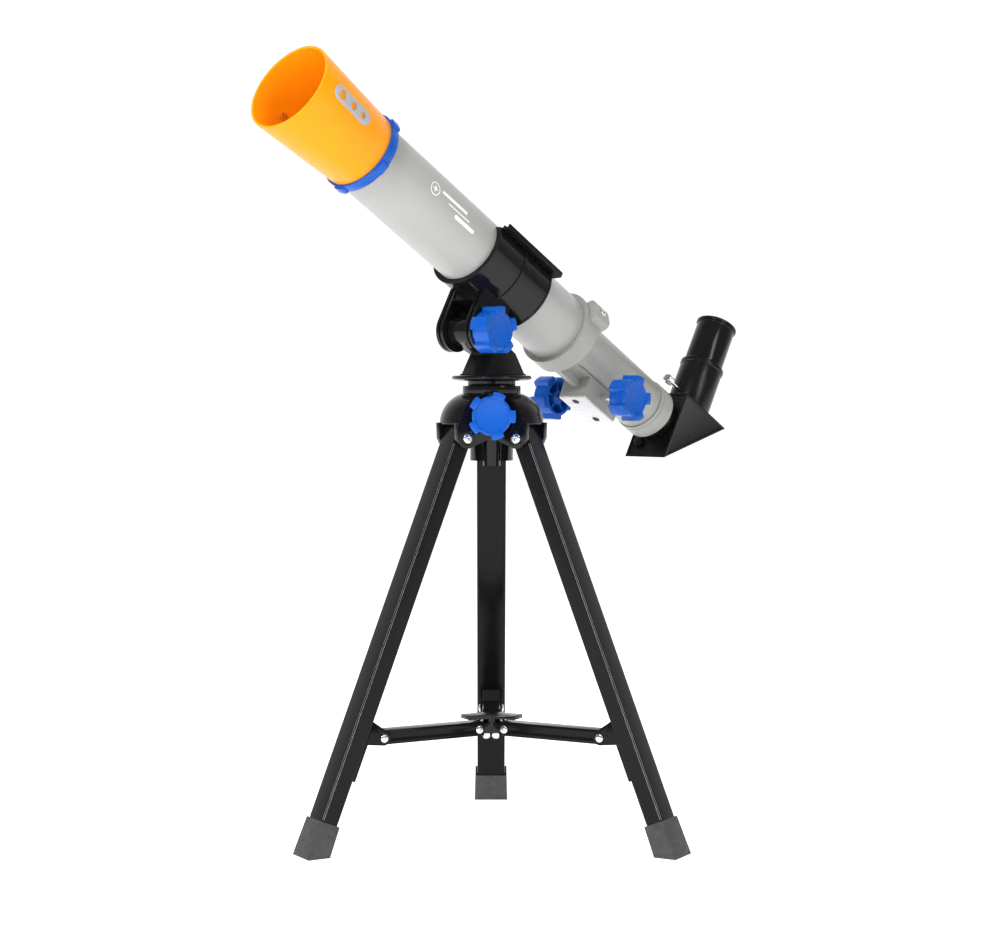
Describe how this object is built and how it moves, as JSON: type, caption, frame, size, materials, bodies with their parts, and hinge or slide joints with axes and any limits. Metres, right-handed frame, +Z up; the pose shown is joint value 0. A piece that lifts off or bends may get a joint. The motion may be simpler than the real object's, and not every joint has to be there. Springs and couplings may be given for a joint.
{
  "type": "tabletop refracting telescope",
  "caption": "Small refracting telescope with dew shield, rack focuser, star diagonal and eyepiece on an alt-azimuth head with a folding spreader tripod",
  "frame": {"origin": "On the floor, under the azimuth axis, midway between the three feet.", "axes": "+Z up along the azimuth axis; +Y towards the rear leg, away from the azimuth clamp knob; +X to the right as seen from the clamp knob side."},
  "size_m": [0.3428, 0.3636, 0.5271],
  "materials": {
    "orange_plastic": "smooth glossy orange",
    "blue_plastic": "smooth satin blue",
    "grey_plastic": "smooth satin light grey",
    "grey_plate": "satin mid grey",
    "tube_paint": "satin light grey paint",
    "black_plastic": "glossy black",
    "black_satin": "satin black",
    "leg_black": "glossy black enamel",
    "sheet_black": "glossy black enamel",
    "rubber_grey": "matt dark grey",
    "bright_steel": "bright zinc plate",
    "dark_steel": "blackened",
    "white_nylon": "natural nylon",
    "lens_glass": "coated clear glass",
    "mirror": "front-surface mirror"
  },
  "bodies": {
    "tripod_head": {"tripod_head": "black_plastic", "leg_pivot_screws": "bright_steel"},
    "azimuth_knob": {"azimuth_knob": "blue_plastic", "azimuth_clamp_screw": "bright_steel"},
    "leg_left": {"leg_left": "leg_black", "foot_left": "rubber_grey", "bracket_left": "sheet_black", "rivets_left": "bright_steel"},
    "leg_right": {"leg_right": "leg_black", "foot_right": "rubber_grey", "bracket_right": "sheet_black", "rivets_right": "bright_steel"},
    "leg_rear": {"leg_rear": "leg_black", "foot_rear": "rubber_grey", "bracket_rear": "sheet_black", "rivets_rear": "bright_steel"},
    "spreader_hub": {"spreader_hub": "black_plastic", "hub_rivets": "bright_steel"},
    "arm_left": {"arm_left": "sheet_black"},
    "arm_right": {"arm_right": "sheet_black"},
    "arm_rear": {"arm_rear": "sheet_black"},
    "azimuth_base": {"azimuth_base": "black_plastic", "azimuth_retainer": "bright_steel"},
    "telescope": {"dew_shield": "orange_plastic", "side_plates": "grey_plate", "side_plate_screws": "bright_steel", "lens_ring": "blue_plastic", "lens_cell": "black_satin", "objective_lens": "lens_glass", "lens_retainer": "black_satin", "main_tube": "tube_paint", "tube_baffle": "black_satin", "cradle": "black_plastic", "cradle_screws": "bright_steel", "altitude_bolt": "bright_steel", "focuser_body": "grey_plastic", "focuser_screw": "bright_steel", "pinion_cover": "grey_plastic", "cover_screws": "dark_steel"},
    "altitude_knob": {"altitude_knob": "blue_plastic"},
    "focus_shaft": {"pinion_shaft": "bright_steel", "pinion": "white_nylon", "focus_knob_right": "blue_plastic", "focus_knob_left": "blue_plastic"},
    "drawtube": {"drawtube": "grey_plastic", "focus_rack": "white_nylon", "eyepiece_holder": "grey_plastic"},
    "diagonal": {"diagonal_housing": "black_plastic", "diagonal_cover": "black_satin", "diagonal_mirror": "mirror"},
    "thumb_screw": {"thumb_screw": "bright_steel"},
    "eyepiece": {"eyepiece_barrel": "bright_steel", "eyepiece_body": "black_plastic", "eye_cap": "black_plastic", "eyepiece_lenses": "lens_glass"}
  },
  "joints": [
    {"name": "azimuth_turn", "type": "hinge", "parent": "tripod_head", "child": "azimuth_base", "pos_m": [0, 0, 0.3122], "axis": [0, 0, 1], "continuous": true},
    {"name": "altitude_tilt", "type": "hinge", "parent": "azimuth_base", "child": "telescope", "pos_m": [-0.01637, -0.01755, 0.3496], "axis": [-0.7314, 0.682, 0], "range_deg": [-55, 17]},
    {"name": "azimuth_clamp", "type": "hinge", "parent": "tripod_head", "child": "azimuth_knob", "pos_m": [0, -0.0275, 0.292], "axis": [0, -1, 0], "range_deg": [-180, 180]},
    {"name": "altitude_clamp", "type": "hinge", "parent": "telescope", "child": "altitude_knob", "pos_m": [-0.00408, -0.02901, 0.3496], "axis": [0.7314, -0.682, 0], "range_deg": [-180, 180]},
    {"name": "focus_slide", "type": "slide", "parent": "telescope", "child": "drawtube", "axis": [0.5906, 0.6334, -0.5], "range_m": [0, 0.04]},
    {"name": "focus_knobs", "type": "hinge", "parent": "telescope", "child": "focus_shaft", "pos_m": [0.07132, 0.07648, 0.30331], "axis": [-0.7314, 0.682, 0], "range_deg": [0, 328]},
    {"name": "diagonal_turn", "type": "hinge", "parent": "drawtube", "child": "diagonal", "pos_m": [0.12516, 0.13421, 0.28602], "axis": [-0.5906, -0.6334, 0.5], "range_deg": [-135, 135]},
    {"name": "thumb_screw_turn", "type": "hinge", "parent": "diagonal", "child": "thumb_screw", "pos_m": [0.14059, 0.15076, 0.31107], "axis": [-0.5906, -0.6334, 0.5], "range_deg": [-180, 180]},
    {"name": "eyepiece_slide", "type": "slide", "parent": "diagonal", "child": "eyepiece", "axis": [0.341, 0.3657, 0.866], "range_m": [0, 0.02]},
    {"name": "leg_rear_fold", "type": "hinge", "parent": "tripod_head", "child": "leg_rear", "pos_m": [0, 0.0275, 0.2767], "axis": [-1, 0, 0], "range_deg": [0, 20]},
    {"name": "leg_left_fold", "type": "hinge", "parent": "tripod_head", "child": "leg_left", "pos_m": [-0.02382, -0.01375, 0.2767], "axis": [0.5, -0.866, 0], "range_deg": [0, 20.01]},
    {"name": "leg_right_fold", "type": "hinge", "parent": "tripod_head", "child": "leg_right", "pos_m": [0.02382, -0.01375, 0.2767], "axis": [0.5, 0.866, 0], "range_deg": [0, 20.01]},
    {"name": "spreader_slide", "type": "slide", "parent": "tripod_head", "child": "spreader_hub", "axis": [0, 0, 1], "range_m": [0, 0.066]},
    {"name": "arm_rear_fold", "type": "hinge", "parent": "spreader_hub", "child": "arm_rear", "pos_m": [0, 0.0135, 0.0757], "axis": [-1, 0, 0], "range_deg": [0, 88.48]},
    {"name": "arm_left_fold", "type": "hinge", "parent": "spreader_hub", "child": "arm_left", "pos_m": [-0.01169, -0.00675, 0.0757], "axis": [0.5, -0.866, 0], "range_deg": [0, 88.48]},
    {"name": "arm_right_fold", "type": "hinge", "parent": "spreader_hub", "child": "arm_right", "pos_m": [0.01169, -0.00675, 0.0757], "axis": [0.5, 0.866, 0], "range_deg": [0, 88.48]}
  ],
  "couplings": [
    {"joint": "leg_left_fold", "follows": "leg_rear_fold", "ratio": 1},
    {"joint": "leg_right_fold", "follows": "leg_rear_fold", "ratio": 1},
    {"joint": "spreader_slide", "follows": "leg_rear_fold", "m_per_rad": 0.18879},
    {"joint": "arm_rear_fold", "follows": "leg_rear_fold", "ratio": 4.419},
    {"joint": "arm_left_fold", "follows": "leg_rear_fold", "ratio": 4.419},
    {"joint": "arm_right_fold", "follows": "leg_rear_fold", "ratio": 4.419},
    {"joint": "focus_knobs", "follows": "focus_slide", "rad_per_m": 142.86}
  ]
}
